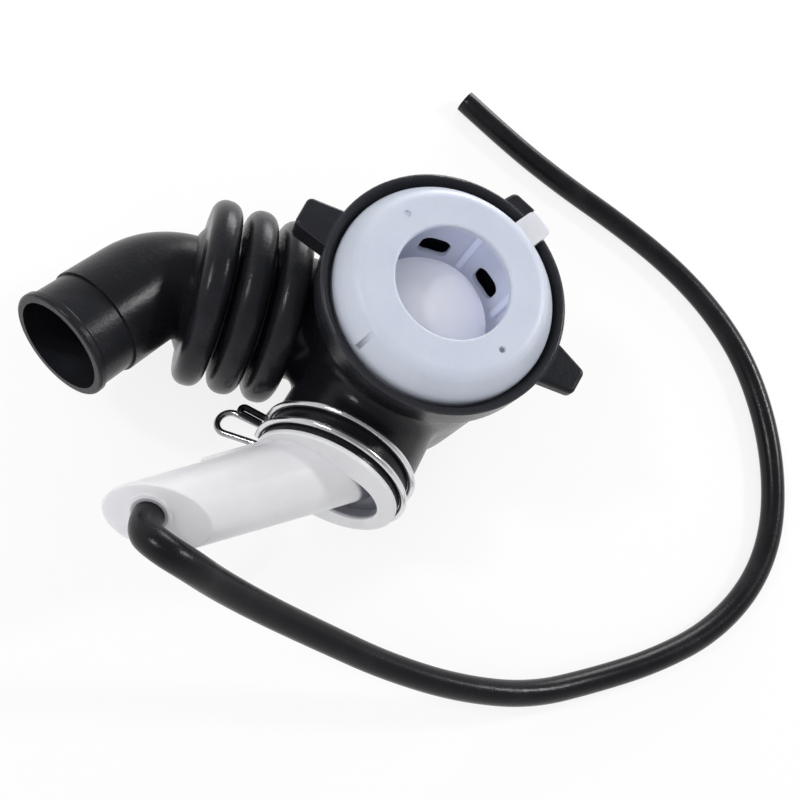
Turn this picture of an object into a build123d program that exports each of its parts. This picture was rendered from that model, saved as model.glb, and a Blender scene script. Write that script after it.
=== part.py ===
"""Sump hose assembly of a washing machine, in millimetres.

A moulded rubber hose takes the water from the tub to the drain pump. Its collar holds a plastic cage
with a float ball, its bellows branch ends in an elbow and a cuff for the pump, and its short branch
holds an air chamber. A thin hose leads the pressure from the air chamber to the level switch.

The origin is on the collar's axis, on the surface that the cup stands on. +Z runs up the collar's axis,
and the bellows branch points along -X.
"""

import os
from math import cos, pi, radians, sin, sqrt, tan

from build123d import *


def heading(azimuth, rise):
    """Unit vector at an azimuth from +X towards +Y and a rise above the horizontal, in degrees."""
    flat = cos(radians(rise))
    return Vector(flat * cos(radians(azimuth)), flat * sin(radians(azimuth)), sin(radians(rise)))


def on_circle(radius, angle, height):
    """Point at a radius and an angle round the collar's axis."""
    return Vector(radius * cos(radians(angle)), radius * sin(radians(angle)), height)


def round_corner(sketch, corner, radius):
    """Round the corner of the sketch that is nearest to a point."""
    fillet(sketch.vertices().sort_by_distance(corner)[0], radius)


# Collar and cup of the rubber hose
wall = 3.0
edge_round = 1.2
collar_r = 38.3
collar_top = 80.0
collar_height = 11.0
collar_flare = 3.0
rim_wall = 3.6
rim_depth = 8.0
rim_slope = 4.6
rim_land = 1.8
collar_step = 2.8
foot_round = 9.0

# Lugs of the collar: angle, overhang, width at the root, width at the tip, thickness
lugs = [
    (163.4, 10.4, 14.0, 9.8, 9.0),
    (58.4, 4.4, 14.7, 10.2, 7.0),
    (-23.1, 10.4, 16.0, 8.6, 4.5),
]
lug_round = 2.0
lug_drop = 0.4

# Bellows branch
bellows_sink = 3.5
bellows_rise = 5.0
neck_length = 9.7
ridge_count = 3
ridge_pitch = 11.65
ridge_r = 31.0
ridge_flat = 9.0
ridge_round = 4.4
valley_r = 21.0
valley_flat = 1.2
valley_round = 0.5
bellows_wall = 2.4
inner_ridge_flat = 4.2
inner_valley_flat = 5.6

# Elbow, cuff and lip at the pump's end
elbow_r = 17.3
elbow_bend = 18.5
elbow_lap = 4.0
elbow_step = 0.5
mouth_azimuth = -124.8
mouth_rise = 14.8
elbow_lead = 9.775
elbow_leg = 40.6
cuff_length = 14.0
cuff_r = 16.6
cuff_bore_r = 14.8
lip_r = 17.4
lip_length = 2.2
lip_round = 0.9

# Short branch for the air chamber
stub_rest = 4.9
stub_azimuth = -110.3
stub_rise = 11.9
stub_step = 11.4
stub_reach = 24.7
branch_blend = 5.0

# Ball and its cage
fit_gap = 0.2
ball_side_gap = 3.3
ball_depth = 38.3
ball_gap = 0.3
cage_rise = 6.3
cage_plate = 2.0
cage_skirt = 2.2
shoulder_drop = 7.8
shoulder_run = 5.5
shoulder_round = 4.5
opening_lap = 4.8
opening_round = 0.8
basket_step = 3.3
basket_wall = 1.6
seat_lap = 8.5
seat_thickness = 3.0
slot_count = 8
slot_angle = 43.5
slot_drop = 33.3
slot_length = 10.2
slot_height = 10.8
slot_round = 3.2
cage_rib_width = 2.0
cage_rib_depth = 1.6
cage_rib_height = 26.0
rib_drop = 36.3
tab_angle = 48.0
tab_width = 9.0
tab_overhang = 1.7
tab_thickness = 4.0
tab_depth = 3.0
tab_rise = 2.0
tab_round = 2.0
key_angle = -134.6
key_width = 1.8
key_reach = 4.5
key_depth = 1.0
gate_angle = 134.0
gate_inset = 6.5
gate_mark_r = 1.1
gate_mark_depth = 0.5

# Air chamber
spigot_length = 16.0
spigot_wall = 2.2
flange_lip = 0.2
flange_thickness = 1.4
recess_lip = 1.8
recess_shift = 5.6
recess_turn = 8.0
recess_depth = 4.0
floor_thickness = 2.2
flange_round = 0.5
chamber_r = 12.5
chamber_tip_r = 11.2
chamber_wall = 1.8
chamber_lean = 39.1
chamber_roll = 9.3
chamber_shift = 5.12
chamber_lift = 3.0
chamber_reach = 51.1
cap_azimuth = -105.7
cap_rise = 40.4
cap_thickness = 2.0
cap_round = 0.6
boss_r = 6.6
boss_height = 0.8
nipple_shift = (1.0, -1.4)
nipple_r = 2.4
nipple_length = 3.6
nipple_bore_r = 1.4
parting_rib_width = 3.0
parting_rib_height = 1.0
parting_rib_length = 32.0

# Double-wire clamp
wire_r = 1.1
clamp_gap = 0.1
clamp_inset = 9.5
clamp_width = 6.6
ear_angle = -20.0
ear_reach = 16.0
ear_spread = 1.1
ear_round = 4.0
hairpin_angle = -7.0
hairpin_reach = 9.0
hairpin_width = 2.6
hairpin_round = 1.25
knuckle_r = 1.15

# Pressure hose
hose_r = 4.5
hose_bore_r = 2.5
corner_share = 0.45
lead_azimuth = -5.0
lead_rise = -27.0
exit_runs = [7.0, 7.2, 8.2]
floor_z = hose_r
hose_route = [
    (-52.0, -94.5, 59.0),
    (-34.5, -97.2, 48.0),
    (-12.5, -101.5, 35.5),
    (12.5, -106.3, 23.5),
    (39.5, -109.5, 14.0),
    (67.5, -108.0, 7.5),
    (95.0, -100.0, floor_z),
    (118.5, -90.0, floor_z),
    (141.0, -76.5, floor_z),
    (158.5, -57.5, floor_z),
    (168.0, -35.5, floor_z),
    (169.5, -10.5, floor_z),
    (164.5, 15.5, floor_z),
    (153.5, 40.0, floor_z),
    (137.0, 59.0, floor_z),
    (116.0, 74.5, floor_z),
    (91.0, 87.0, floor_z),
    (64.5, 97.8, floor_z),
    (39.5, 110.2, floor_z),
    (17.0, 124.0, floor_z),
]

# Frames that the pieces share
collar_low = collar_top - collar_height
cup_r = collar_r - collar_step
cup_bore_r = cup_r - wall
rim_bore_r = collar_r - rim_wall
seat_z = collar_top - rim_depth
first_ridge = cup_r + neck_length
bellows_z = ridge_r - bellows_sink
stub_r = cup_r - stub_step
stub_bore_r = stub_r - wall
stub_z = stub_r + stub_rest
stub_end = cup_r + stub_reach

skirt_r = rim_bore_r - fit_gap
basket_r = skirt_r - cage_skirt - basket_step
basket_bore_r = basket_r - basket_wall
ball_r = basket_bore_r - cage_rib_depth - ball_side_gap
cage_opening_r = ball_r - opening_lap
seat_r = ball_r - seat_lap
cage_top = collar_top + cage_rise
plate_low = cage_top - cage_plate
shoulder_z = cage_top - shoulder_drop
basket_top = shoulder_z + basket_step * shoulder_drop / shoulder_run
ball_z = cage_top - ball_depth
ball_seat_z = ball_z - sqrt((ball_r + ball_gap) ** 2 - seat_r**2)
ball_travel = plate_low - sqrt((ball_r + ball_gap) ** 2 - cage_opening_r**2) - ball_z
slot_z = cage_top - slot_drop
rib_low = cage_top - rib_drop
gate_r = cage_opening_r + gate_inset
tab_reach = collar_r + tab_overhang
tab_root_r = skirt_r - tab_depth
tab_low = collar_top + tab_rise - tab_thickness
tab_plane = Plane((0, 0, tab_low), x_dir=heading(tab_angle, 0), z_dir=(0, 0, 1))

bellows_start = Vector(0, 0, bellows_z)
bellows_dir = heading(180, bellows_rise)
bellows_plane = Plane(bellows_start, x_dir=bellows_dir, z_dir=(0, 1, 0))
bellows_axis = Axis(bellows_start, bellows_dir)
bellows_end = first_ridge + (ridge_count - 0.5) * ridge_pitch

mouth_dir = heading(mouth_azimuth, mouth_rise)
elbow_start = bellows_start + bellows_dir * (bellows_end - elbow_lap)
elbow_point = bellows_start + bellows_dir * (bellows_end + elbow_lead)
mouth = elbow_point + mouth_dir * elbow_leg
step = mouth - mouth_dir * cuff_length
mouth_plane = Plane(step, x_dir=mouth_dir, z_dir=heading(mouth_azimuth - 90, 0))

stub_start = Vector(0, 0, stub_z)
stub_dir = heading(stub_azimuth, stub_rise)
side_dir = heading(stub_azimuth - 90, 0)
stub_plane = Plane(stub_start, x_dir=stub_dir, z_dir=side_dir)
stub_axis = Axis(stub_start, stub_dir)
up_dir = stub_plane.y_dir

spigot_r = stub_bore_r - fit_gap
spigot_bore_r = spigot_r - spigot_wall
flange_r = stub_r + flange_lip
recess_r = spigot_r - recess_lip - recess_shift
spigot_start = stub_end - spigot_length
flange_face = stub_end + flange_thickness
floor_high = flange_face - recess_depth
floor_low = floor_high - floor_thickness
ring_centre = stub_start + stub_dir * flange_face
recess_dir = side_dir * cos(radians(recess_turn)) + up_dir * sin(radians(recess_turn))
recess_centre = ring_centre - recess_dir * recess_shift
lean_dir = side_dir * cos(radians(chamber_roll)) + up_dir * sin(radians(chamber_roll))
chamber_dir = stub_dir * cos(radians(chamber_lean)) + lean_dir * sin(radians(chamber_lean))
chamber_start = ring_centre + side_dir * chamber_shift + up_dir * chamber_lift
cap_centre = chamber_start + chamber_dir * chamber_reach
cap_dir = heading(cap_azimuth, cap_rise)
cap_plane = Plane(cap_centre, x_dir=chamber_dir - cap_dir * chamber_dir.dot(cap_dir), z_dir=cap_dir)
nipple_plane = Plane(cap_plane.from_local_coords(nipple_shift), z_dir=cap_dir)
chamber_plane = Plane(chamber_start, x_dir=chamber_dir, z_dir=chamber_dir.cross(Vector(0, 0, 1)))
chamber_axis = Axis(chamber_start, chamber_dir)
chamber_side = chamber_plane.z_dir
rib_dir = chamber_dir * chamber_reach + chamber_side * (chamber_tip_r - chamber_r)

clamp_r = stub_r + wire_r + clamp_gap
clamp_near = stub_end - clamp_inset
clamp_far = clamp_near + clamp_width
clamp_axis = Axis(stub_start, stub_dir * -1)


def clamp_radial(angle):
    """Outward direction at an angle round the short branch, from its side towards its top."""
    return side_dir * cos(radians(angle)) + up_dir * sin(radians(angle))


def clamp_tangent(angle):
    """Direction along the ring at an angle round the short branch."""
    return up_dir * cos(radians(angle)) - side_dir * sin(radians(angle))


def clamp_point(along, angle, radius):
    """Point at a distance along the short branch, an angle round it and a radius."""
    return stub_start + stub_dir * along + clamp_radial(angle) * radius


def hose_corners():
    """Points of the pressure hose: an even turn off the nipple, then the way it lies."""
    lead_dir = heading(lead_azimuth, lead_rise)
    turn_axis = Axis((0, 0, 0), cap_dir.cross(lead_dir))
    turn = cap_dir.get_angle(lead_dir)
    points = [nipple_plane.origin + cap_dir * boss_height]
    for index, run in enumerate(exit_runs):
        share = index / len(exit_runs)
        points.append(points[-1] + cap_dir.rotate(turn_axis, turn * share) * run)
    return points + [Vector(*point) for point in hose_route]


def corner_radii(points):
    """Bend radius at each inner corner, from the shorter run beside it and the turn."""
    radii = []
    for before, at, after in zip(points, points[1:], points[2:]):
        turn = (at - before).get_angle(after - at)
        run = min((at - before).length, (after - at).length)
        radii.append(corner_share * run / tan(radians(turn / 2)))
    return radii


hose_points = hose_corners()
hose_radii = corner_radii(hose_points)


def chamber_cone(inset):
    """Corners of the chamber's half section, inset from its outside and longer than it at both ends."""
    slope = (chamber_tip_r - chamber_r) / chamber_reach
    return [
        (-chamber_reach, 0),
        (-chamber_reach, chamber_r - inset - slope * chamber_reach),
        (2 * chamber_reach, chamber_r - inset + 2 * slope * chamber_reach),
        (2 * chamber_reach, 0),
    ]


def bellows_wave(ridge, ridge_width, valley, valley_width):
    """Corners of the bellows' section, from the first valley to the last, as (along, out) pairs."""
    points = []
    for index in range(ridge_count):
        centre = first_ridge + index * ridge_pitch
        foot = (ridge_pitch - valley_width) / 2
        points += [
            (centre - foot, valley),
            (centre - ridge_width / 2, ridge),
            (centre + ridge_width / 2, ridge),
            (centre + foot, valley),
        ]
    return points


# Space inside the rubber hose
with BuildPart() as hose_bore:
    with BuildSketch(Plane.XZ) as cup_space:
        with BuildLine():
            Polyline(
                (0, wall),
                (cup_bore_r, wall),
                (cup_bore_r, seat_z),
                (rim_bore_r, seat_z),
                (rim_bore_r, collar_top - rim_slope),
                (collar_r - rim_land, collar_top),
                (0, collar_top),
                close=True,
            )
        make_face()
        round_corner(cup_space, (cup_bore_r, wall), foot_round - wall)
    revolve(axis=Axis.Z)
    with BuildSketch(bellows_plane) as bellows_space:
        inner_valley_r = valley_r - bellows_wall
        inner_ridge_r = ridge_r - bellows_wall
        inner_wave = bellows_wave(inner_ridge_r, inner_ridge_flat, inner_valley_r, inner_valley_flat)
        with BuildLine():
            Polyline(
                (0, 0),
                (0, inner_valley_r),
                *inner_wave,
                (bellows_end, inner_valley_r),
                (bellows_end, 0),
                close=True,
            )
        make_face()
    revolve(axis=bellows_axis)
    with BuildLine():
        FilletPolyline(elbow_start, elbow_point, mouth, radius=elbow_bend)
    with BuildSketch(Plane(elbow_start, z_dir=bellows_dir)):
        Circle(cuff_bore_r)
    sweep()
    with BuildSketch(Plane(stub_start, z_dir=stub_dir)):
        Circle(stub_bore_r)
    extrude(amount=stub_end)

# Lugs of the collar
with BuildPart() as lug_blocks:
    for angle, overhang, root_width, tip_width, thickness in lugs:
        reach = collar_r + overhang
        lug_plane = Plane((0, 0, collar_top - lug_drop), x_dir=heading(angle, 0), z_dir=(0, 0, 1))
        with BuildSketch(lug_plane) as lug_outline:
            with BuildLine():
                Polyline(
                    (rim_bore_r, root_width / 2),
                    (reach, tip_width / 2),
                    (reach, -tip_width / 2),
                    (rim_bore_r, -root_width / 2),
                    close=True,
                )
            make_face()
            round_corner(lug_outline, (reach, tip_width / 2), lug_round)
            round_corner(lug_outline, (reach, -tip_width / 2), lug_round)
        extrude(amount=-thickness)
    fillet(lug_blocks.edges().filter_by(Plane.XY), edge_round)

# Rubber hose, one moulding
with BuildPart() as hose_body:
    with BuildSketch(Plane.XZ) as cup_outline:
        with BuildLine():
            Polyline(
                (0, 0),
                (cup_r, 0),
                (cup_r, collar_low - collar_flare),
                (collar_r, collar_low),
                (collar_r, collar_top),
                (0, collar_top),
                close=True,
            )
        make_face()
        round_corner(cup_outline, (cup_r, 0), foot_round)
        round_corner(cup_outline, (collar_r, collar_low), edge_round)
        round_corner(cup_outline, (collar_r, collar_top), edge_round)
    revolve(axis=Axis.Z)
    with BuildSketch(Plane(stub_start, z_dir=stub_dir)):
        Circle(stub_r)
    extrude(amount=stub_end)
    with BuildSketch(Plane(bellows_start, z_dir=bellows_dir)):
        Circle(valley_r)
    extrude(amount=first_ridge)
    fillet(hose_body.edges().filter_by(GeomType.BSPLINE), branch_blend)
    with BuildSketch(bellows_plane) as bellows_outline:
        first_foot, *outer_wave = bellows_wave(ridge_r, ridge_flat, valley_r, valley_flat)
        flank_lean = (outer_wave[0][0] - first_foot[0]) / (ridge_r - valley_r)
        first_root = first_foot[0] - bellows_wall * flank_lean
        with BuildLine():
            Polyline(
                (first_root, 0),
                (first_root, valley_r - bellows_wall),
                *outer_wave,
                (bellows_end + valley_flat, elbow_r + elbow_step),
                (bellows_end + valley_flat, 0),
                close=True,
            )
        make_face()
        for point in outer_wave:
            round_corner(bellows_outline, point, ridge_round if point[1] == ridge_r else valley_round)
    revolve(axis=bellows_axis)
    with BuildLine():
        FilletPolyline(elbow_start, elbow_point, step, radius=elbow_bend)
    with BuildSketch(Plane(elbow_start, z_dir=bellows_dir)):
        Circle(elbow_r)
    sweep()
    with BuildSketch(mouth_plane) as cuff_outline:
        with BuildLine():
            Polyline(
                (-elbow_lap, 0),
                (-elbow_lap, cuff_r),
                (cuff_length - lip_length - lip_r + cuff_r, cuff_r),
                (cuff_length - lip_length, lip_r),
                (cuff_length, lip_r),
                (cuff_length, 0),
                close=True,
            )
        make_face()
        round_corner(cuff_outline, (cuff_length, lip_r), lip_round)
    revolve(axis=Axis(mouth, mouth_dir))
    add(lug_blocks.part)
    add(hose_bore.part, mode=Mode.SUBTRACT)
    with BuildSketch(tab_plane.offset(-fit_gap)):
        with Locations((tab_reach, 0)):
            Rectangle(2 * (tab_reach - tab_root_r), tab_width + 2 * fit_gap)
    extrude(amount=collar_height, mode=Mode.SUBTRACT)

# Cage that holds the ball in the collar
with BuildPart() as ball_cage:
    with BuildSketch(Plane.XZ) as cage_outline:
        with BuildLine():
            Polyline(
                (skirt_r, seat_z),
                (skirt_r, shoulder_z),
                (skirt_r - shoulder_run, cage_top),
                (cage_opening_r, cage_top),
                (cage_opening_r, plate_low),
                (basket_bore_r, plate_low),
                (basket_bore_r, ball_seat_z),
                (seat_r, ball_seat_z),
                (seat_r, ball_seat_z - seat_thickness),
                (basket_r, ball_seat_z - seat_thickness),
                (basket_r, basket_top),
                (skirt_r - cage_skirt, shoulder_z),
                (skirt_r - cage_skirt, seat_z),
                close=True,
            )
        make_face()
        round_corner(cage_outline, (skirt_r, shoulder_z), shoulder_round)
        round_corner(cage_outline, (skirt_r - shoulder_run, cage_top), shoulder_round)
        round_corner(cage_outline, (cage_opening_r, cage_top), opening_round)
    revolve(axis=Axis.Z)
    for index in range(slot_count):
        turn = slot_angle + index * 360 / slot_count
        slot_centre = on_circle(seat_r, turn, slot_z)
        slot_plane = Plane(slot_centre, x_dir=heading(turn + 90, 0), z_dir=heading(turn, 0))
        with BuildSketch(slot_plane):
            RectangleRounded(slot_length, slot_height, slot_round)
        extrude(amount=basket_r - seat_r + fit_gap, mode=Mode.SUBTRACT)
        rib_turn = turn + 180 / slot_count
        rib_plane = Plane(on_circle(0, 0, rib_low), x_dir=heading(rib_turn, 0), z_dir=(0, 0, 1))
        with BuildSketch(rib_plane):
            with Locations((basket_bore_r, 0)):
                Rectangle(2 * cage_rib_depth, cage_rib_width)
        extrude(amount=cage_rib_height)
    with BuildSketch(tab_plane) as tab_outline:
        with Locations(((tab_root_r + tab_reach) / 2, 0)):
            Rectangle(tab_reach - tab_root_r, tab_width)
        round_corner(tab_outline, (tab_reach, tab_width / 2), tab_round)
        round_corner(tab_outline, (tab_reach, -tab_width / 2), tab_round)
    extrude(amount=tab_thickness)
    key_plane = Plane((0, 0, 0), x_dir=heading(key_angle, 0), z_dir=heading(key_angle - 90, 0))
    with BuildSketch(key_plane):
        with BuildLine():
            Polyline(
                (skirt_r - key_reach - key_depth, cage_top),
                (skirt_r - key_depth, shoulder_z),
                (skirt_r + key_reach, shoulder_z),
                (skirt_r + key_reach, cage_top),
                close=True,
            )
        make_face()
    extrude(amount=key_width / 2, both=True, mode=Mode.SUBTRACT)
    with BuildSketch(Plane(on_circle(0, 0, cage_top), x_dir=heading(gate_angle, 0), z_dir=(0, 0, 1))):
        with Locations((gate_r, 0), (-gate_r, 0)):
            Circle(gate_mark_r)
    extrude(amount=-gate_mark_depth, mode=Mode.SUBTRACT)

# Ball that closes the opening from below when it floats up
with BuildPart() as float_ball:
    with Locations((0, 0, ball_z)):
        Sphere(ball_r)

# Slanted tube of the air chamber, solid, cut off along the cap
with BuildPart() as chamber_tube:
    with BuildSketch(chamber_plane):
        with BuildLine():
            Polyline(*chamber_cone(0), close=True)
        make_face()
    revolve(axis=chamber_axis)
    split(bisect_by=cap_plane, keep=Keep.BOTTOM)
    split(bisect_by=Plane(stub_start + stub_dir * floor_low, z_dir=stub_dir), keep=Keep.TOP)
    with BuildSketch(Plane(chamber_start, x_dir=chamber_side, z_dir=rib_dir)):
        with Locations((chamber_r, 0)):
            Rectangle(2 * parting_rib_height, parting_rib_width)
    extrude(amount=parting_rib_length)
    with BuildSketch(stub_plane):
        with BuildLine():
            Polyline(
                (0, spigot_r - fit_gap),
                (stub_end, spigot_r - fit_gap),
                (stub_end, 2 * chamber_reach),
                (0, 2 * chamber_reach),
                close=True,
            )
        make_face()
    revolve(axis=stub_axis, mode=Mode.SUBTRACT)
    fillet(chamber_tube.faces().sort_by_distance(cap_centre)[0].edges(), cap_round)

# Air inside the chamber
with BuildPart() as chamber_space:
    with BuildSketch(chamber_plane):
        with BuildLine():
            Polyline(*chamber_cone(chamber_wall), close=True)
        make_face()
    revolve(axis=chamber_axis)
    split(bisect_by=cap_plane.offset(-cap_thickness), keep=Keep.BOTTOM)
    split(bisect_by=Plane(stub_start + stub_dir * floor_low, z_dir=stub_dir), keep=Keep.TOP)
    with BuildSketch(stub_plane):
        with BuildLine():
            Polyline(
                (0, spigot_bore_r),
                (flange_face, spigot_bore_r),
                (flange_face, 2 * chamber_reach),
                (0, 2 * chamber_reach),
                close=True,
            )
        make_face()
    revolve(axis=stub_axis, mode=Mode.SUBTRACT)
    with BuildSketch(Plane(stub_start + stub_dir * spigot_start, z_dir=stub_dir)):
        Circle(spigot_bore_r)
    extrude(amount=floor_low - spigot_start)

# Air chamber, one moulding
with BuildPart() as air_chamber:
    with BuildSketch(stub_plane) as flange_outline:
        with BuildLine():
            Polyline(
                (spigot_start, 0),
                (spigot_start, spigot_r),
                (stub_end, spigot_r),
                (stub_end, flange_r),
                (flange_face, flange_r),
                (flange_face, 0),
                close=True,
            )
        make_face()
        round_corner(flange_outline, (flange_face, flange_r), flange_round)
    revolve(axis=stub_axis)
    with BuildSketch(Plane(recess_centre, z_dir=stub_dir)):
        Circle(recess_r)
    extrude(amount=-recess_depth, mode=Mode.SUBTRACT)
    add(chamber_tube.part)
    add(chamber_space.part, mode=Mode.SUBTRACT)
    with BuildSketch(nipple_plane):
        Circle(boss_r)
    extrude(amount=boss_height)
    with BuildSketch(nipple_plane):
        Circle(nipple_r)
    extrude(amount=boss_height + nipple_length)
    with BuildSketch(nipple_plane.offset(boss_height + nipple_length)):
        Circle(nipple_bore_r)
    extrude(amount=-(boss_height + nipple_length + 2 * cap_thickness), mode=Mode.SUBTRACT)

# Double-wire clamp, one length of wire
with BuildPart() as hose_clamp:
    for along in (clamp_near, clamp_far):
        ring_end = clamp_point(along, hairpin_angle, clamp_r)
        with BuildSketch(Plane(ring_end, z_dir=clamp_tangent(hairpin_angle))):
            Circle(wire_r)
        revolve(axis=clamp_axis, revolution_arc=360 - hairpin_angle + ear_angle)
    ear_points = [
        clamp_point(clamp_near, ear_angle, clamp_r),
        clamp_point(clamp_near - ear_spread, ear_angle, clamp_r + ear_reach),
        clamp_point(clamp_far + ear_spread, ear_angle, clamp_r + ear_reach),
        clamp_point(clamp_far, ear_angle, clamp_r),
    ]
    with BuildLine():
        FilletPolyline(*ear_points, radius=ear_round)
    with BuildSketch(Plane(ear_points[0], z_dir=ear_points[1] - ear_points[0])):
        Circle(wire_r)
    sweep()
    with BuildLine():
        FilletPolyline(
            clamp_point(clamp_near, hairpin_angle, clamp_r),
            clamp_point(clamp_near, hairpin_angle, clamp_r + hairpin_reach),
            clamp_point(clamp_near + hairpin_width, hairpin_angle, clamp_r + hairpin_reach),
            clamp_point(clamp_near + hairpin_width, hairpin_angle, clamp_r + wire_r),
            radius=hairpin_round,
        )
    hairpin_root = clamp_point(clamp_near, hairpin_angle, clamp_r)
    with BuildSketch(Plane(hairpin_root, z_dir=clamp_radial(hairpin_angle))):
        Circle(wire_r)
    sweep()
    with Locations(
        clamp_point(clamp_near, ear_angle, clamp_r),
        clamp_point(clamp_far, ear_angle, clamp_r),
        clamp_point(clamp_near, hairpin_angle, clamp_r),
    ):
        Sphere(knuckle_r)

# Pressure hose, from the nipple to its free end
with BuildPart() as pressure_hose:
    with BuildLine() as hose_path:
        FilletPolyline(*hose_points, radius=hose_radii)
    with BuildSketch(Plane(hose_points[0], z_dir=cap_dir)):
        Circle(hose_r)
        Circle(hose_bore_r, mode=Mode.SUBTRACT)
    sweep()

hose_section = pi * (hose_r**2 - hose_bore_r**2)
print("pressure hose radii", [round(radius, 1) for radius in hose_radii])
hose_length = sum(edge.length for edge in hose_path.edges())
print("pressure hose length", round(hose_length, 1))
hose_fill = pressure_hose.part.volume / (hose_section * hose_length)
print("pressure hose volume over section times length", round(hose_fill, 4))
print("ball travel", round(ball_travel, 2))

os.makedirs("parts", exist_ok=True)
hose_body.part.label = "hose_body"
export_step(hose_body.part, "parts/hose_body.step")
ball_cage.part.label = "ball_cage"
export_step(ball_cage.part, "parts/ball_cage.step")
float_ball.part.label = "float_ball"
export_step(float_ball.part, "parts/float_ball.step")
air_chamber.part.label = "air_chamber"
export_step(air_chamber.part, "parts/air_chamber.step")
hose_clamp.part.label = "hose_clamp"
export_step(hose_clamp.part, "parts/hose_clamp.step")
pressure_hose.part.label = "pressure_hose"
export_step(pressure_hose.part, "parts/pressure_hose.step")
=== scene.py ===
"""Dressed pump hose: moulded rubber, milky plastic, spring wire and a thin black pressure hose."""
import logging
from dataclasses import dataclass
from enum import Enum
from math import pi
from typing import Any, Union

import bmesh
import bpy
from mathutils import Matrix, Vector


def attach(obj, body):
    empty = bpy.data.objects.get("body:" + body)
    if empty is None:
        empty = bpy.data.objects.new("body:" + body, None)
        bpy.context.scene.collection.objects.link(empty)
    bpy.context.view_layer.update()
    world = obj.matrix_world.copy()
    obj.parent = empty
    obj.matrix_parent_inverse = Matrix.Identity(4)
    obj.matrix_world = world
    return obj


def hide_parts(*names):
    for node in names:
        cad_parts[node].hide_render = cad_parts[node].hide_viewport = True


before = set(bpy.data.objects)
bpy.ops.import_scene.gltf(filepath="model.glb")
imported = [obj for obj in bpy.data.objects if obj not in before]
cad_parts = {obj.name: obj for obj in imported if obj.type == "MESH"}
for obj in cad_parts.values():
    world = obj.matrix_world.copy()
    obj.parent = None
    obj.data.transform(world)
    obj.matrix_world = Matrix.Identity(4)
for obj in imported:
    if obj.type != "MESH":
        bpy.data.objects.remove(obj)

LOG = logging.getLogger("pump_hose")

Pair = tuple[float, float]
Triple = tuple[float, float, float]
Number = Union[float, "Signal"]
Colour = Union[Triple, bpy.types.NodeSocket]

MM = 0.001
ORIGIN: Triple = (0.0, 0.0, 0.0)
UP: Triple = (0.0, 0.0, 1.0)
BLACK: Triple = (0.0, 0.0, 0.0)
WHITE: Triple = (1.0, 1.0, 1.0)
NOISE_MEAN = 0.5


class Body(Enum):
    """The rigid bodies that new pieces ride on."""

    HOSE = "hose"


class Node(Enum):
    """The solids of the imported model."""

    HOSE_BODY = "hose_body"
    BALL_CAGE = "ball_cage"
    FLOAT_BALL = "float_ball"
    AIR_CHAMBER = "air_chamber"
    HOSE_CLAMP = "hose_clamp"
    PRESSURE_HOSE = "pressure_hose"


class Slot(Enum):
    """The record's material slots that new pieces use."""

    HOSE_RUBBER = "hose_rubber"


def metres(point: Triple) -> Vector:
    """A point in millimetres as a vector in metres."""
    return Vector(point) * MM


class Signal:
    """A number that varies over a surface. Sums written with it add Math nodes."""

    def __init__(self, sheet: "ShaderSheet", socket: bpy.types.NodeSocket) -> None:
        """Wrap one output socket of a sheet."""
        self.sheet = sheet
        self.socket = socket

    def _math(self, operation: str, first: Number, second: Number, clamp: bool = False) -> "Signal":
        """Add one Math node.

        Args:
            operation: the Math node's operation.
            first: its first number.
            second: its second number.
            clamp: keep the result between 0 and 1.

        Returns:
            The node's result.
        """
        settings = {"operation": operation, "use_clamp": clamp}
        made = self.sheet.node("ShaderNodeMath", settings, {0: first, 1: second})
        return Signal(self.sheet, made.outputs[0])

    def __add__(self, other: Number) -> "Signal":
        """Sum."""
        return self._math("ADD", self, other)

    def __radd__(self, other: Number) -> "Signal":
        """Sum with the number first."""
        return self._math("ADD", other, self)

    def __sub__(self, other: Number) -> "Signal":
        """Difference."""
        return self._math("SUBTRACT", self, other)

    def __rsub__(self, other: Number) -> "Signal":
        """Difference with the number first."""
        return self._math("SUBTRACT", other, self)

    def __mul__(self, other: Number) -> "Signal":
        """Product."""
        return self._math("MULTIPLY", self, other)

    def __rmul__(self, other: Number) -> "Signal":
        """Product with the number first."""
        return self._math("MULTIPLY", other, self)

    def clamped(self) -> "Signal":
        """The signal kept between 0 and 1."""
        return self._math("ADD", self, 0.0, clamp=True)

    def size(self) -> "Signal":
        """The signal without its sign."""
        return self._math("ABSOLUTE", self, 0.0)

    def ramp(self, low: float, high: float, start: float = 0.0, end: float = 1.0) -> "Signal":
        """Smooth step of the signal.

        Args:
            low: where the step starts.
            high: where it ends.
            start: value before the step.
            end: value after it.

        Returns:
            The stepped signal.
        """
        settings = {"interpolation_type": "SMOOTHSTEP", "clamp": True}
        sockets = {0: self, 1: low, 2: high, 3: start, 4: end}
        return Signal(self.sheet, self.sheet.node("ShaderNodeMapRange", settings, sockets).outputs[0])

    def fall(self, low: float, high: float) -> "Signal":
        """Smooth step down, 1 before it and 0 after it."""
        return self.ramp(low, high, 1.0, 0.0)

    def band(self, centre: float, half: float) -> "Signal":
        """1 at a value, fading to 0 at half a width from it."""
        return (self - centre).size().fall(0.0, half)


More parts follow.
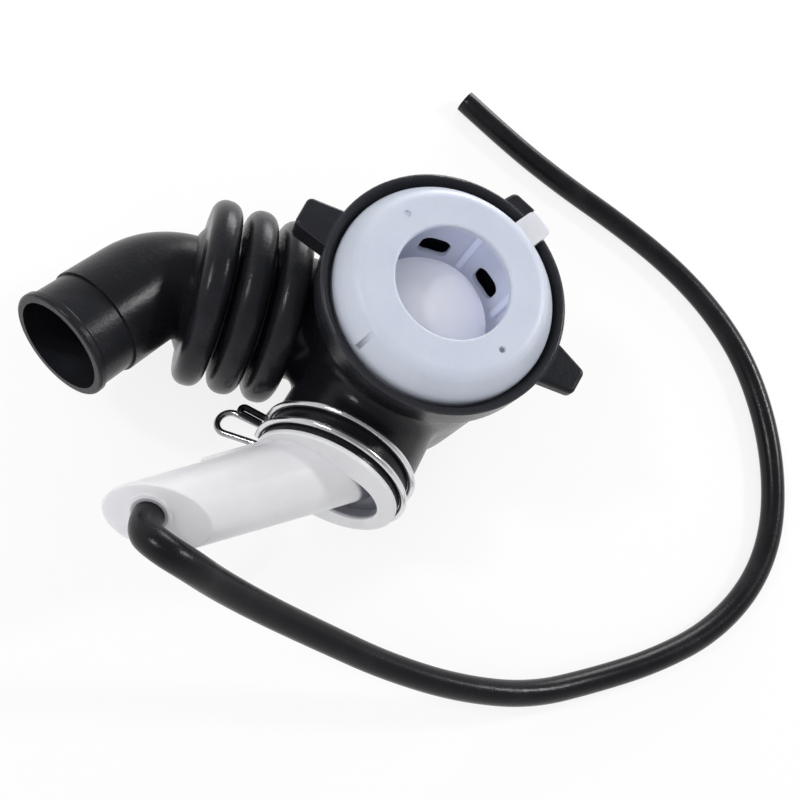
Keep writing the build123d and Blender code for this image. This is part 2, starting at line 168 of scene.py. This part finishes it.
class ShaderSheet:
    """The node tree of a material or of the world, with one way to add a node."""

    def __init__(self, owner: Union[bpy.types.Material, bpy.types.World]) -> None:
        """Empty the owner's tree."""
        owner.use_nodes = True
        self.owner = owner
        self.tree = owner.node_tree
        self.tree.nodes.clear()

    def node(self, kind: str, settings: dict[str, Any] | None = None,
             sockets: dict[Union[str, int], Any] | None = None) -> bpy.types.Node:
        """Add one node.

        Args:
            kind: the node's type.
            settings: its settings, set before its sockets.
            sockets: values, colours, sockets or signals for its inputs.

        Returns:
            The new node.
        """
        made = self.tree.nodes.new(kind)
        for name, value in (settings or {}).items():
            setattr(made, name, value)
        for key, value in (sockets or {}).items():
            socket = made.inputs[key]
            if isinstance(value, Signal):
                value = value.socket
            if isinstance(value, bpy.types.NodeSocket):
                self.tree.links.new(value, socket)
            else:
                socket.default_value = (*value, 1.0) if socket.type == "RGBA" else value
        return made

    def place(self) -> bpy.types.NodeSocket:
        """Object coordinates, in metres in the shared frame."""
        return self.node("ShaderNodeTexCoord").outputs["Object"]

    def vector(self, operation: str, first: Any, second: Any) -> bpy.types.NodeSocket:
        """The vector result of one Vector Math node."""
        return self.node("ShaderNodeVectorMath", {"operation": operation}, {0: first, 1: second}).outputs[0]

    def measure(self, operation: str, first: Any, second: Any = ORIGIN) -> Signal:
        """The number that one Vector Math node gives."""
        made = self.node("ShaderNodeVectorMath", {"operation": operation}, {0: first, 1: second})
        return Signal(self, made.outputs["Value"])

    def noise(self, cells: float, detail: float = 2.0) -> Signal:
        """Soft noise.

        Args:
            cells: cells per metre.
            detail: number of finer layers.

        Returns:
            The noise, about NOISE_MEAN on average.
        """
        sockets = {"Vector": self.place(), "Scale": cells, "Detail": detail, "Roughness": 0.55}
        return Signal(self, self.node("ShaderNodeTexNoise", {}, sockets).outputs[0])

    def about(self, point: Triple, direction: Triple) -> tuple[Signal, Signal]:
        """Distances along and out from an axis.

        Args:
            point: a point on the axis, in metres.
            direction: its unit direction.

        Returns:
            The distance along the axis and the distance from it.
        """
        offset = self.vector("SUBTRACT", self.place(), point)
        along = self.measure("DOT_PRODUCT", offset, direction)
        out = self.measure("LENGTH", self.vector("CROSS_PRODUCT", offset, direction))
        return along, out

    def reach(self, way: Triple) -> tuple[Signal, Signal]:
        """Distances along a level direction from the collar's axis, and to either side of it.

        Args:
            way: the level unit direction.

        Returns:
            The distance along the direction and the distance beside it.
        """
        along = self.measure("DOT_PRODUCT", self.place(), way)
        beside = self.measure("DOT_PRODUCT", self.place(), (-way[1], way[0], 0.0)).size()
        return along, beside

    def blend(self, factor: Number, first: Colour, second: Colour) -> bpy.types.NodeSocket:
        """Mix two colours.

        Args:
            factor: share of the second.
            first: a colour or a colour socket.
            second: a colour or a colour socket.

        Returns:
            The mixed colour's socket.
        """
        settings = {"data_type": "RGBA", "blend_type": "MIX", "clamp_factor": True}
        return self.node("ShaderNodeMix", settings, {0: factor, 6: first, 7: second}).outputs[2]

    def bump(self, height: Signal, depth: float) -> bpy.types.NodeSocket:
        """A normal from a height signal, whose full swing is a depth in metres."""
        return self.node("ShaderNodeBump", {}, {"Distance": depth, "Height": height}).outputs["Normal"]

    def surface(self, sockets: dict[str, Any]) -> bpy.types.Material:
        """Close the sheet with a Principled surface.

        Args:
            sockets: values, sockets or signals for the surface's inputs.

        Returns:
            The finished material.
        """
        shader = self.node("ShaderNodeBsdfPrincipled", {}, sockets)
        self.node("ShaderNodeOutputMaterial", {}, {"Surface": shader.outputs[0]})
        return self.owner


def fresh_sheet(name: str) -> ShaderSheet:
    """The empty sheet of a new material."""
    return ShaderSheet(bpy.data.materials.new(name))


@dataclass(frozen=True)
class MouldedRubber:
    """Satin black rubber of the collar, bellows and elbow, greyer at the bellows crests and collar lip from
    rubbing and painted sheen, at the collar rim as painted sheen, and in random clouds.
    """

    name: str = "moulded_rubber"
    black: Triple = (0.0080, 0.0083, 0.0106)
    rubbed_and_sheen: Triple = (0.028, 0.029, 0.035)
    roughness: float = 0.25
    gloss: float = 0.21
    relief: float = 0.00012
    mottle_cells: float = 75.0
    pore_cells: float = 620.0
    grain_cells: float = 1900.0
    bellows_foot: Triple = (0.0, 0.0, 0.0275)
    bellows_way: Triple = (-0.996195, 0.0, 0.087156)
    bellows_step: Pair = (0.036, 0.040)
    crest_step: Pair = (0.0288, 0.031)
    crest_wear_and_sheen: float = 0.5
    lip_step: Pair = (0.0363, 0.0383)
    lip_height: float = 0.080
    lip_half: float = 0.0016
    lip_wear_and_sheen: float = 0.7
    rim_r: float = 0.0364
    rim_step: Pair = (0.0018, 0.0024)
    rim_rise: Pair = (0.073, 0.077)
    rim_sheen: float = 0.55
    cloud_step: Pair = (0.5, 0.78)
    cloud_wear: float = 0.15

    def wear_and_sheen(self, sheet: ShaderSheet, mottle: Signal) -> Signal:
        """How far the rubber is greyed: bellows crests and collar lip from rubbing and painted sheen, collar
        rim as painted sheen, and clouds all over.

        Args:
            sheet: the material's sheet.
            mottle: the noise that breaks the rubbing and painted sheen up.

        Returns:
            A share between 0 and 1.
        """
        along, out = sheet.about(self.bellows_foot, self.bellows_way)
        # Bellows crests: grey from rubbing and as painted highlight lines.
        crest = out.ramp(*self.crest_step) * along.ramp(*self.bellows_step)
        height, radius = sheet.about(ORIGIN, UP)
        # Collar lip: grey from rubbing and as a painted highlight along its edge.
        lip = radius.ramp(*self.lip_step) * height.band(self.lip_height, self.lip_half)
        # Collar rim: grey as painted sheen on its inward slope.
        rim = (radius - self.rim_r).size().fall(*self.rim_step) * height.ramp(*self.rim_rise)
        patches = (crest * self.crest_wear_and_sheen + lip * self.lip_wear_and_sheen) * mottle
        return (patches + rim * self.rim_sheen + mottle.ramp(*self.cloud_step) * self.cloud_wear).clamped()

    def material(self) -> bpy.types.Material:
        """The finished material."""
        sheet = fresh_sheet(self.name)
        mottle = sheet.noise(self.mottle_cells, 3.0)
        grain = sheet.noise(self.grain_cells)
        pores = sheet.noise(self.pore_cells)
        colour = sheet.blend(self.wear_and_sheen(sheet, mottle), self.black, self.rubbed_and_sheen)
        rough = self.roughness + (mottle - NOISE_MEAN) * 0.22 + (grain - NOISE_MEAN) * 0.10
        normal = sheet.bump(grain * 0.5 + pores * 0.5, self.relief)
        return sheet.surface({"Base Color": colour, "Roughness": rough, "Normal": normal,
                              "Specular IOR Level": self.gloss})


@dataclass(frozen=True)
class ExtrudedRubber:
    """Smooth black rubber of the thin hose, faintly dusty."""

    name: str = "extruded_rubber"
    black: Triple = (0.0072, 0.0074, 0.0092)
    dusty: Triple = (0.020, 0.020, 0.024)
    roughness: float = 0.26
    gloss: float = 0.23
    relief: float = 0.00006
    mottle_cells: float = 60.0
    grain_cells: float = 1500.0
    dust_step: Pair = (0.48, 0.8)
    dust_share: float = 0.6

    def material(self) -> bpy.types.Material:
        """The finished material."""
        sheet = fresh_sheet(self.name)
        mottle = sheet.noise(self.mottle_cells, 3.0)
        grain = sheet.noise(self.grain_cells)
        colour = sheet.blend(mottle.ramp(*self.dust_step) * self.dust_share, self.black, self.dusty)
        rough = self.roughness + (mottle - NOISE_MEAN) * 0.2 + (grain - NOISE_MEAN) * 0.08
        normal = sheet.bump(grain, self.relief)
        return sheet.surface({"Base Color": colour, "Roughness": rough, "Normal": normal,
                              "Specular IOR Level": self.gloss})


@dataclass(frozen=True)
class MilkyPlastic:
    """Translucent white polypropylene, with faint flow marks and a painted glow standing in for light that
    passes its wall.
    """

    name: str
    body: Triple
    shade: Triple
    # Colour of the painted glow that stands in for light passing the milky wall.
    painted_glow: Triple
    roughness: float = 0.40
    depth: float = 0.004
    glow: float = 0.30
    scatter: Triple = (1.0, 0.95, 1.1)
    relief: float = 0.00006
    cloud_cells: float = 55.0
    flow_cells: float = 320.0
    grain_cells: float = 2600.0
    cloud_step: Pair = (0.3, 0.75)
    flow_step: Pair = (0.42, 0.8)

    def light(self, sheet: ShaderSheet) -> Colour:
        """The painted glow standing in for light from behind that passes the wall.

        Args:
            sheet: the material's sheet.

        Returns:
            The painted glow's colour, the same all over.
        """
        return self.painted_glow

    def toned(self, sheet: ShaderSheet, colour: bpy.types.NodeSocket) -> bpy.types.NodeSocket:
        """The plastic's colour, where a place on it has another tone.

        Args:
            sheet: the material's sheet.
            colour: the plastic's own colour.

        Returns:
            The toned colour.
        """
        return colour

    def material(self) -> bpy.types.Material:
        """The finished material."""
        sheet = fresh_sheet(self.name)
        cloud = sheet.noise(self.cloud_cells, 3.0)
        flow = sheet.noise(self.flow_cells, 3.0)
        grain = sheet.noise(self.grain_cells)
        tint = (cloud.ramp(*self.cloud_step) * 0.7 + flow.ramp(*self.flow_step) * 0.3).clamped()
        colour = self.toned(sheet, sheet.blend(tint, self.body, self.shade))
        rough = self.roughness + (flow - NOISE_MEAN) * 0.18 + (grain - NOISE_MEAN) * 0.08
        normal = sheet.bump(flow * 0.5 + grain * 0.5, self.relief)
        # Emission carries the painted glow.
        return sheet.surface({"Base Color": colour, "Roughness": rough, "Normal": normal,
                              "Subsurface Weight": self.glow, "Subsurface Scale": self.depth,
                              "Subsurface Radius": self.scatter, "Emission Color": self.light(sheet),
                              "Emission Strength": 1.0})


@dataclass(frozen=True)
class CagePlastic(MilkyPlastic):
    """Milky plastic of the ball's cage, with a painted glow inside its basket standing in for the light it
    gathers.
    """

    inner_step: Pair = (0.0284, 0.0288)
    inner_top: Pair = (0.0842, 0.0846)
    basket_rise: Pair = (0.035, 0.075)
    basket_foot: float = 0.35
    side_step: Pair = (-0.013, 0.005)
    rib_step: Pair = (0.0265, 0.0268)
    rib_share: float = 0.62
    tab_way: Triple = (0.669131, 0.743145, 0.0)
    tab_reach: Pair = (0.0295, 0.0310)
    tab_side: Pair = (0.0048, 0.0056)
    key_way: Triple = (-0.702153, -0.712026, 0.0)
    key_reach: Pair = (0.0300, 0.0335)
    key_side: Pair = (0.0004, 0.0010)
    gate_at: Triple = (0.016811, -0.017408, 0.0)
    gate_step: Pair = (0.0006, 0.0010)
    mark_rise: Pair = (0.0780, 0.0790)
    whiter: Triple = (0.64, 0.64, 0.67)
    mark: Triple = (0.10, 0.10, 0.12)

    def light(self, sheet: ShaderSheet) -> Colour:
        """The painted glow, standing in for light from behind: full inside the basket, less further from the
        axis and towards its foot, and fading to none on its left side as painted shade.
        """
        # Painted glow inside the basket, with painted shade towards the foot and on the left side.
        height, radius = sheet.about(ORIGIN, UP)
        inside = radius.fall(*self.inner_step) * height.fall(*self.inner_top)
        ribs = radius.ramp(*self.rib_step, 1.0, self.rib_share)
        across = sheet.measure("DOT_PRODUCT", sheet.place(), (1.0, 0.0, 0.0)).ramp(*self.side_step)
        share = inside * ribs * height.ramp(*self.basket_rise, self.basket_foot, 1.0) * across
        return sheet.blend(share, BLACK, self.painted_glow)

    def toned(self, sheet: ShaderSheet, colour: bpy.types.NodeSocket) -> bpy.types.NodeSocket:
        """The plastic's colour, whiter at the tab and dark in the gate mark and the key's notch."""
        out, beside = sheet.reach(self.tab_way)
        tab = out.ramp(*self.tab_reach) * beside.fall(*self.tab_side)
        out, beside = sheet.reach(self.key_way)
        key = out.ramp(*self.key_reach) * beside.fall(*self.key_side)
        gate = sheet.about(self.gate_at, UP)[1].fall(*self.gate_step)
        high = sheet.about(ORIGIN, UP)[0].ramp(*self.mark_rise)
        toned = sheet.blend(tab * 0.8, colour, self.whiter)
        return sheet.blend((gate * 0.85 + key * 0.6) * high, toned, self.mark)


@dataclass(frozen=True)
class ChamberPlastic(MilkyPlastic):
    """Milky plastic of the air chamber, with painted shade in the recess beside its tube."""

    recess_at: Triple = (-0.01577, -0.05861, 0.04094)
    recess_way: Triple = (-0.33948, -0.917733, 0.206204)
    recess_depth: Pair = (-0.0016, -0.0001)
    recess_edge: Pair = (0.0134, 0.0138)
    boss_at: Triple = (-0.06969, -0.07808, 0.05925)
    boss_way: Triple = (-0.206073, -0.733127, 0.64812)
    seat_edge: Pair = (0.0050, 0.0057)
    seat_height: Pair = (0.0030, 0.0040)
    # Colour of the painted shade in the recess and the painted contact shadow at the hose's seat.
    dull_and_painted_shade: Triple = (0.12, 0.124, 0.15)

    def recess(self, sheet: ShaderSheet) -> Signal:
        """1 in the recess, 0 outside it."""
        along, out = sheet.about(self.recess_at, self.recess_way)
        return out.fall(*self.recess_edge) * along.fall(*self.recess_depth)

    def light(self, sheet: ShaderSheet) -> Colour:
        """The painted glow standing in for light from behind: none in the recess, as painted shade."""
        # No painted glow in the recess: painted shade.
        return sheet.blend(1.0 - self.recess(sheet), BLACK, self.painted_glow)

    def toned(self, sheet: ShaderSheet, colour: bpy.types.NodeSocket) -> bpy.types.NodeSocket:
        """The plastic's colour, with painted shade in the recess and a painted contact shadow where the thin
        hose sits.
        """
        along, out = sheet.about(self.boss_at, self.boss_way)
        seat = out.fall(*self.seat_edge) * along.size().fall(*self.seat_height)
        # Painted shade in the recess and a painted contact shadow ring around the hose's seat.
        return sheet.blend((self.recess(sheet) + seat * 0.8).clamped(), colour, self.dull_and_painted_shade)


@dataclass(frozen=True)
class BrightWire:
    """Drawn spring steel, bright with faint draw marks, darker at the ear and near black at the hairpin."""

    name: str = "bright_wire"
    steel: Triple = (0.74, 0.74, 0.76)
    dull_and_painted_shade: Triple = (0.42, 0.42, 0.44)
    darkened: Triple = (0.035, 0.034, 0.042)
    roughness: float = 0.20
    relief: float = 0.00003
    cloud_cells: float = 160.0
    grain_cells: float = 2600.0
    cloud_step: Pair = (0.45, 0.8)
    axis_at: Triple = (0.0, 0.0, 0.029)
    axis_way: Triple = (-0.33948, -0.917733, 0.206204)
    ear_step: Pair = (0.0262, 0.0285)
    ear_darkening: float = 0.45
    hairpin_at: Triple = (-0.04565, -0.03816, 0.03617)
    hairpin_step: Pair = (0.0050, 0.0064)
    hairpin_darkening: float = 0.9

    def material(self) -> bpy.types.Material:
        """The finished material."""
        sheet = fresh_sheet(self.name)
        cloud = sheet.noise(self.cloud_cells, 3.0)
        grain = sheet.noise(self.grain_cells)
        ear = sheet.about(self.axis_at, self.axis_way)[1].ramp(*self.ear_step, 0.0, self.ear_darkening)
        apart = sheet.measure("DISTANCE", sheet.place(), self.hairpin_at)
        hairpin = apart.ramp(*self.hairpin_step, self.hairpin_darkening, 0.0)
        bright = sheet.blend(cloud.ramp(*self.cloud_step) * 0.6, self.steel, self.dull_and_painted_shade)
        # Darker at the ear and near black at the hairpin.
        colour = sheet.blend((ear + hairpin).clamped(), bright, self.darkened)
        rough = self.roughness + (cloud - NOISE_MEAN) * 0.2 + (grain - NOISE_MEAN) * 0.12
        normal = sheet.bump(grain, self.relief)
        return sheet.surface({"Base Color": colour, "Roughness": rough, "Metallic": 1.0, "Normal": normal})


def dress(node: Node, material: bpy.types.Material) -> None:
    """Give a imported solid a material.

    Args:
        node: the solid.
        material: its finish.
    """
    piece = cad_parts[node.value]
    piece.data.materials.clear()
    piece.data.materials.append(material)
    LOG.info("dressed %s with %s", node.value, material.name)


def link(name: str, data: Any) -> bpy.types.Object:
    """A new object at the origin that shows some data."""
    piece = bpy.data.objects.new(name, data)
    bpy.context.scene.collection.objects.link(piece)
    return piece


def spun(name: str, profile: tuple[Pair, ...], at: Vector, way: Vector, steps: int,
         material: bpy.types.Material) -> bpy.types.Object:
    """A round piece spun about its axis.

    Args:
        name: the piece's name.
        profile: its half section as (out, along) pairs in millimetres.
        at: where along is zero, in metres.
        way: the axis' direction.
        steps: steps of the full turn.
        material: its finish.

    Returns:
        The piece, smooth shaded.
    """
    shape = bmesh.new()
    corners = [shape.verts.new((out * MM, 0.0, along * MM)) for out, along in profile]
    edges = [shape.edges.new(pair) for pair in zip(corners, corners[1:])]
    bmesh.ops.spin(shape, geom=corners + edges, cent=ORIGIN, axis=UP, angle=2 * pi, steps=steps,
                   use_merge=True)
    bmesh.ops.remove_doubles(shape, verts=shape.verts, dist=1e-7)
    bmesh.ops.recalc_face_normals(shape, faces=shape.faces)
    turn = way.to_track_quat("Z", "Y").to_matrix().to_4x4()
    bmesh.ops.transform(shape, matrix=Matrix.Translation(at) @ turn, verts=shape.verts)
    for face in shape.faces:
        face.smooth = True
    mesh = bpy.data.meshes.new(name)
    shape.to_mesh(mesh)
    shape.free()
    mesh.materials.append(material)
    return link(name, mesh)


@dataclass(frozen=True)
class SoftLamp:
    """A square soft lamp, with its place and side in metres and its power in watts."""

    name: str
    at: Triple
    side: float
    power: float
    in_gloss: bool = True

    def hang(self, target: Triple) -> None:
        """Hang the lamp and aim it at a point."""
        data = bpy.data.lights.new(self.name, "AREA")
        data.size = self.side
        data.energy = self.power
        lamp = link(self.name, data)
        lamp.visible_glossy = self.in_gloss
        aim = Vector(target) - Vector(self.at)
        lamp.matrix_world = Matrix.Translation(self.at) @ aim.to_track_quat("-Z", "Y").to_matrix().to_4x4()


@dataclass
class Studio:
    """Camera at the photograph's place, pale floor, soft lamps and a plain surround."""

    eye: Triple = (-64.5, -115.4, 314.2)
    right: Triple = (0.9528, 0.1387, 0.2702)
    up: Triple = (-0.2121, 0.9406, 0.2652)
    back: Triple = (-0.2173, -0.3099, 0.9256)
    lens: float = 40.5
    sensor: float = 36.0
    near: float = 0.01
    floor_size: float = 8.0
    floor_drop: float = 0.0003
    floor_white: Triple = (0.93, 0.93, 0.93)
    floor_glow: float = 0.82
    sky_tone: Triple = (0.8, 0.8, 0.8)
    sky_step: Pair = (0.22, 0.75)
    sky_low: float = 1.0
    sky_high: float = 0.34
    aim: Triple = (0.0, 0.0, 0.04)
    lamps: tuple[SoftLamp, ...] = (
        SoftLamp("key_lamp", (-0.42, -0.42, 1.12), 1.20, 5.5, in_gloss=False),
        SoftLamp("back_lamp", (0.20, 0.95, 0.14), 0.50, 6.0),
        SoftLamp("window_lamp", (0.70, 0.36, 0.66), 0.12, 3.4),
        SoftLamp("left_lamp", (-0.66, 0.02, 0.80), 0.12, 2.4),
    )

    def build(self) -> None:
        """Set up the view, the floor and the light."""
        bpy.context.scene.view_settings.view_transform = "Standard"
        self.place_camera()
        self.lay_floor()
        self.light_surround()
        for lamp in self.lamps:
            lamp.hang(self.aim)

    def place_camera(self) -> None:
        """Put the camera where the photograph was taken."""
        data = bpy.data.cameras.new("photo_camera")
        data.lens = self.lens
        data.sensor_width = self.sensor
        data.clip_start = self.near
        camera = link("photo_camera", data)
        axes = Matrix((self.right, self.up, self.back)).transposed().to_4x4()
        camera.matrix_world = Matrix.Translation(metres(self.eye)) @ axes
        bpy.context.scene.camera = camera

    def lay_floor(self) -> None:
        """A wide pale floor that shows white where it is lit and keeps the shadow."""
        mesh = bpy.data.meshes.new("floor")
        shape = bmesh.new()
        bmesh.ops.create_grid(shape, x_segments=1, y_segments=1, size=self.floor_size / 2)
        bmesh.ops.translate(shape, verts=shape.verts, vec=(0.0, 0.0, -self.floor_drop))
        shape.to_mesh(mesh)
        shape.free()
        sheet = fresh_sheet("pale_floor")
        ray = sheet.node("ShaderNodeLightPath").outputs
        seen = (Signal(sheet, ray["Is Camera Ray"]) + Signal(sheet, ray["Is Glossy Ray"])
                + Signal(sheet, ray["Is Transmission Ray"])).clamped()
        matte = sheet.node("ShaderNodeBsdfDiffuse", {}, {"Color": self.floor_white})
        white = sheet.node("ShaderNodeEmission", {}, {"Color": WHITE, "Strength": 1.0})
        layers = {0: seen * self.floor_glow, 1: matte.outputs[0], 2: white.outputs[0]}
        both = sheet.node("ShaderNodeMixShader", {}, layers)
        sheet.node("ShaderNodeOutputMaterial", {}, {"Surface": both.outputs[0]})
        mesh.materials.append(sheet.owner)
        link("floor", mesh)

    def light_surround(self) -> None:
        """Even surround, pale at the horizon and dimmer overhead."""
        world = bpy.data.worlds.new("surround")
        bpy.context.scene.world = world
        sheet = ShaderSheet(world)
        rise = sheet.measure("DOT_PRODUCT", sheet.node("ShaderNodeTexCoord").outputs["Generated"], UP)
        levels = {0: rise, 1: self.sky_step[0], 2: self.sky_step[1], 3: self.sky_low, 4: self.sky_high}
        level = sheet.node("ShaderNodeMapRange", {}, levels)
        glow = sheet.node("ShaderNodeBackground", {}, {"Color": self.sky_tone, "Strength": level.outputs[0]})
        sheet.node("ShaderNodeOutputWorld", {}, {"Surface": glow.outputs[0]})


@dataclass
class PressureHose:
    """The thin hose from the air chamber's cap, lying loose with a square-cut end."""

    rubber: ExtrudedRubber = ExtrudedRubber()
    radius: float = 4.5
    bore: float = 2.5
    bore_depth: float = 16.0
    length: float = 535.0
    end_lip: float = 0.35
    end_inset: float = 0.02
    end_cover: float = 2.5
    end_steps: int = 40
    round_steps: int = 7
    run_steps: int = 14
    route: tuple[Triple, ...] = (
        (-69.69, -78.08, 59.25), (-71.1, -83.2, 63.8), (-64.4, -87.6, 69.5), (-56.1, -90.5, 66.4),
        (-47.8, -93.1, 57.1), (-33.1, -96.9, 46.1), (-12.5, -101.5, 34.8), (12.3, -107.0, 24.0),
        (40.6, -110.2, 15.0), (69.0, -108.8, 8.4), (95.0, -100.0, 4.5), (118.5, -90.0, 4.5),
        (141.0, -76.5, 4.5), (158.5, -57.5, 4.5), (168.0, -35.5, 4.5), (169.5, -10.5, 4.5),
        (164.5, 15.5, 4.5), (153.5, 40.0, 4.5), (137.0, 59.0, 4.5), (116.0, 74.5, 4.5),
        (91.0, 87.0, 4.5), (64.5, 97.8, 4.5), (39.5, 110.2, 4.5), (17.0, 124.0, 4.5),
    )

    def build(self) -> None:
        """Lay the hose and line its open end."""
        rubber = self.rubber.material()
        hose = self.lay(rubber)
        end = self.line_end(rubber)
        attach(hose, Body.HOSE.value)
        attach(end, Body.HOSE.value)
        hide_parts(Node.PRESSURE_HOSE.value)
        LOG.info("laid %s with %s", hose.name, end.name)

    def lay(self, rubber: bpy.types.Material) -> bpy.types.Object:
        """The hose on one smooth spline along its route.

        Args:
            rubber: the hose's finish.

        Returns:
            The hose.
        """
        data = bpy.data.curves.new("thin_hose", "CURVE")
        data.dimensions = "3D"
        data.bevel_depth = self.radius * MM
        data.bevel_resolution = self.round_steps
        data.resolution_u = self.run_steps
        data.use_fill_caps = False
        spline = data.splines.new("NURBS")
        spline.points.add(len(self.route) - 1)
        for point, at in zip(spline.points, self.route):
            point.co = (*metres(at), 1.0)
        spline.order_u = 3
        spline.use_endpoint_u = True
        data.materials.append(rubber)
        return link("thin_hose", data)

    def line_end(self, rubber: bpy.types.Material) -> bpy.types.Object:
        """The square-cut end with its open bore.

        Args:
            rubber: the hose's finish.

        Returns:
            The end piece.
        """
        tip = metres(self.route[-1])
        way = (tip - metres(self.route[-2])).normalized()
        outside = self.radius - self.end_inset
        profile = ((outside, -self.end_cover), (outside, -self.end_lip), (self.radius - self.end_lip, 0.0),
                   (self.bore + self.end_lip, 0.0), (self.bore, -self.end_lip),
                   (self.bore, -self.bore_depth), (0.0, -self.bore_depth))
        return spun("thin_hose_end", profile, tip, way, self.end_steps, rubber)


@dataclass
class RubberBody:
    """The moulded rubber hose."""

    rubber: MouldedRubber = MouldedRubber()

    def build(self) -> None:
        """Dress the moulding."""
        dress(Node.HOSE_BODY, self.rubber.material())


@dataclass
class BallValve:
    """The white cage in the collar and the ball inside it."""

    cage: CagePlastic = CagePlastic(
        "cage_plastic", body=(0.55, 0.59, 0.68), shade=(0.505, 0.545, 0.64), painted_glow=(0.20, 0.205, 0.27))
    # The ball's painted glow stands in for light reaching it inside the cage.
    ball: MilkyPlastic = MilkyPlastic(
        "ball_plastic", body=(0.66, 0.67, 0.72), shade=(0.625, 0.637, 0.685), painted_glow=(0.18, 0.183, 0.205),
        roughness=0.34)

    def build(self) -> None:
        """Dress the cage and the ball."""
        dress(Node.BALL_CAGE, self.cage.material())
        dress(Node.FLOAT_BALL, self.ball.material())


@dataclass
class AirChamber:
    """The slanted white chamber on the short branch."""

    # The chamber's painted glow stands in for light passing its wall.
    plastic: ChamberPlastic = ChamberPlastic(
        "chamber_plastic", body=(0.68, 0.68, 0.70), shade=(0.63, 0.63, 0.655), painted_glow=(0.085, 0.085, 0.09),
        roughness=0.36, depth=0.006, glow=0.35)

    def build(self) -> None:
        """Dress the chamber."""
        dress(Node.AIR_CHAMBER, self.plastic.material())


@dataclass
class WireClamp:
    """The double-wire spring clamp on the short branch."""

    wire: BrightWire = BrightWire()

    def build(self) -> None:
        """Dress the clamp."""
        dress(Node.HOSE_CLAMP, self.wire.material())


def main() -> None:
    """Build each sub-assembly in order."""
    logging.basicConfig(level=logging.INFO)
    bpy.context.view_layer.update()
    for part in (Studio(), PressureHose(), RubberBody(), BallValve(), AirChamber(), WireClamp()):
        part.build()
        LOG.info("built %s", type(part).__name__)
    bpy.context.view_layer.update()


if __name__ == "__main__":
    main()
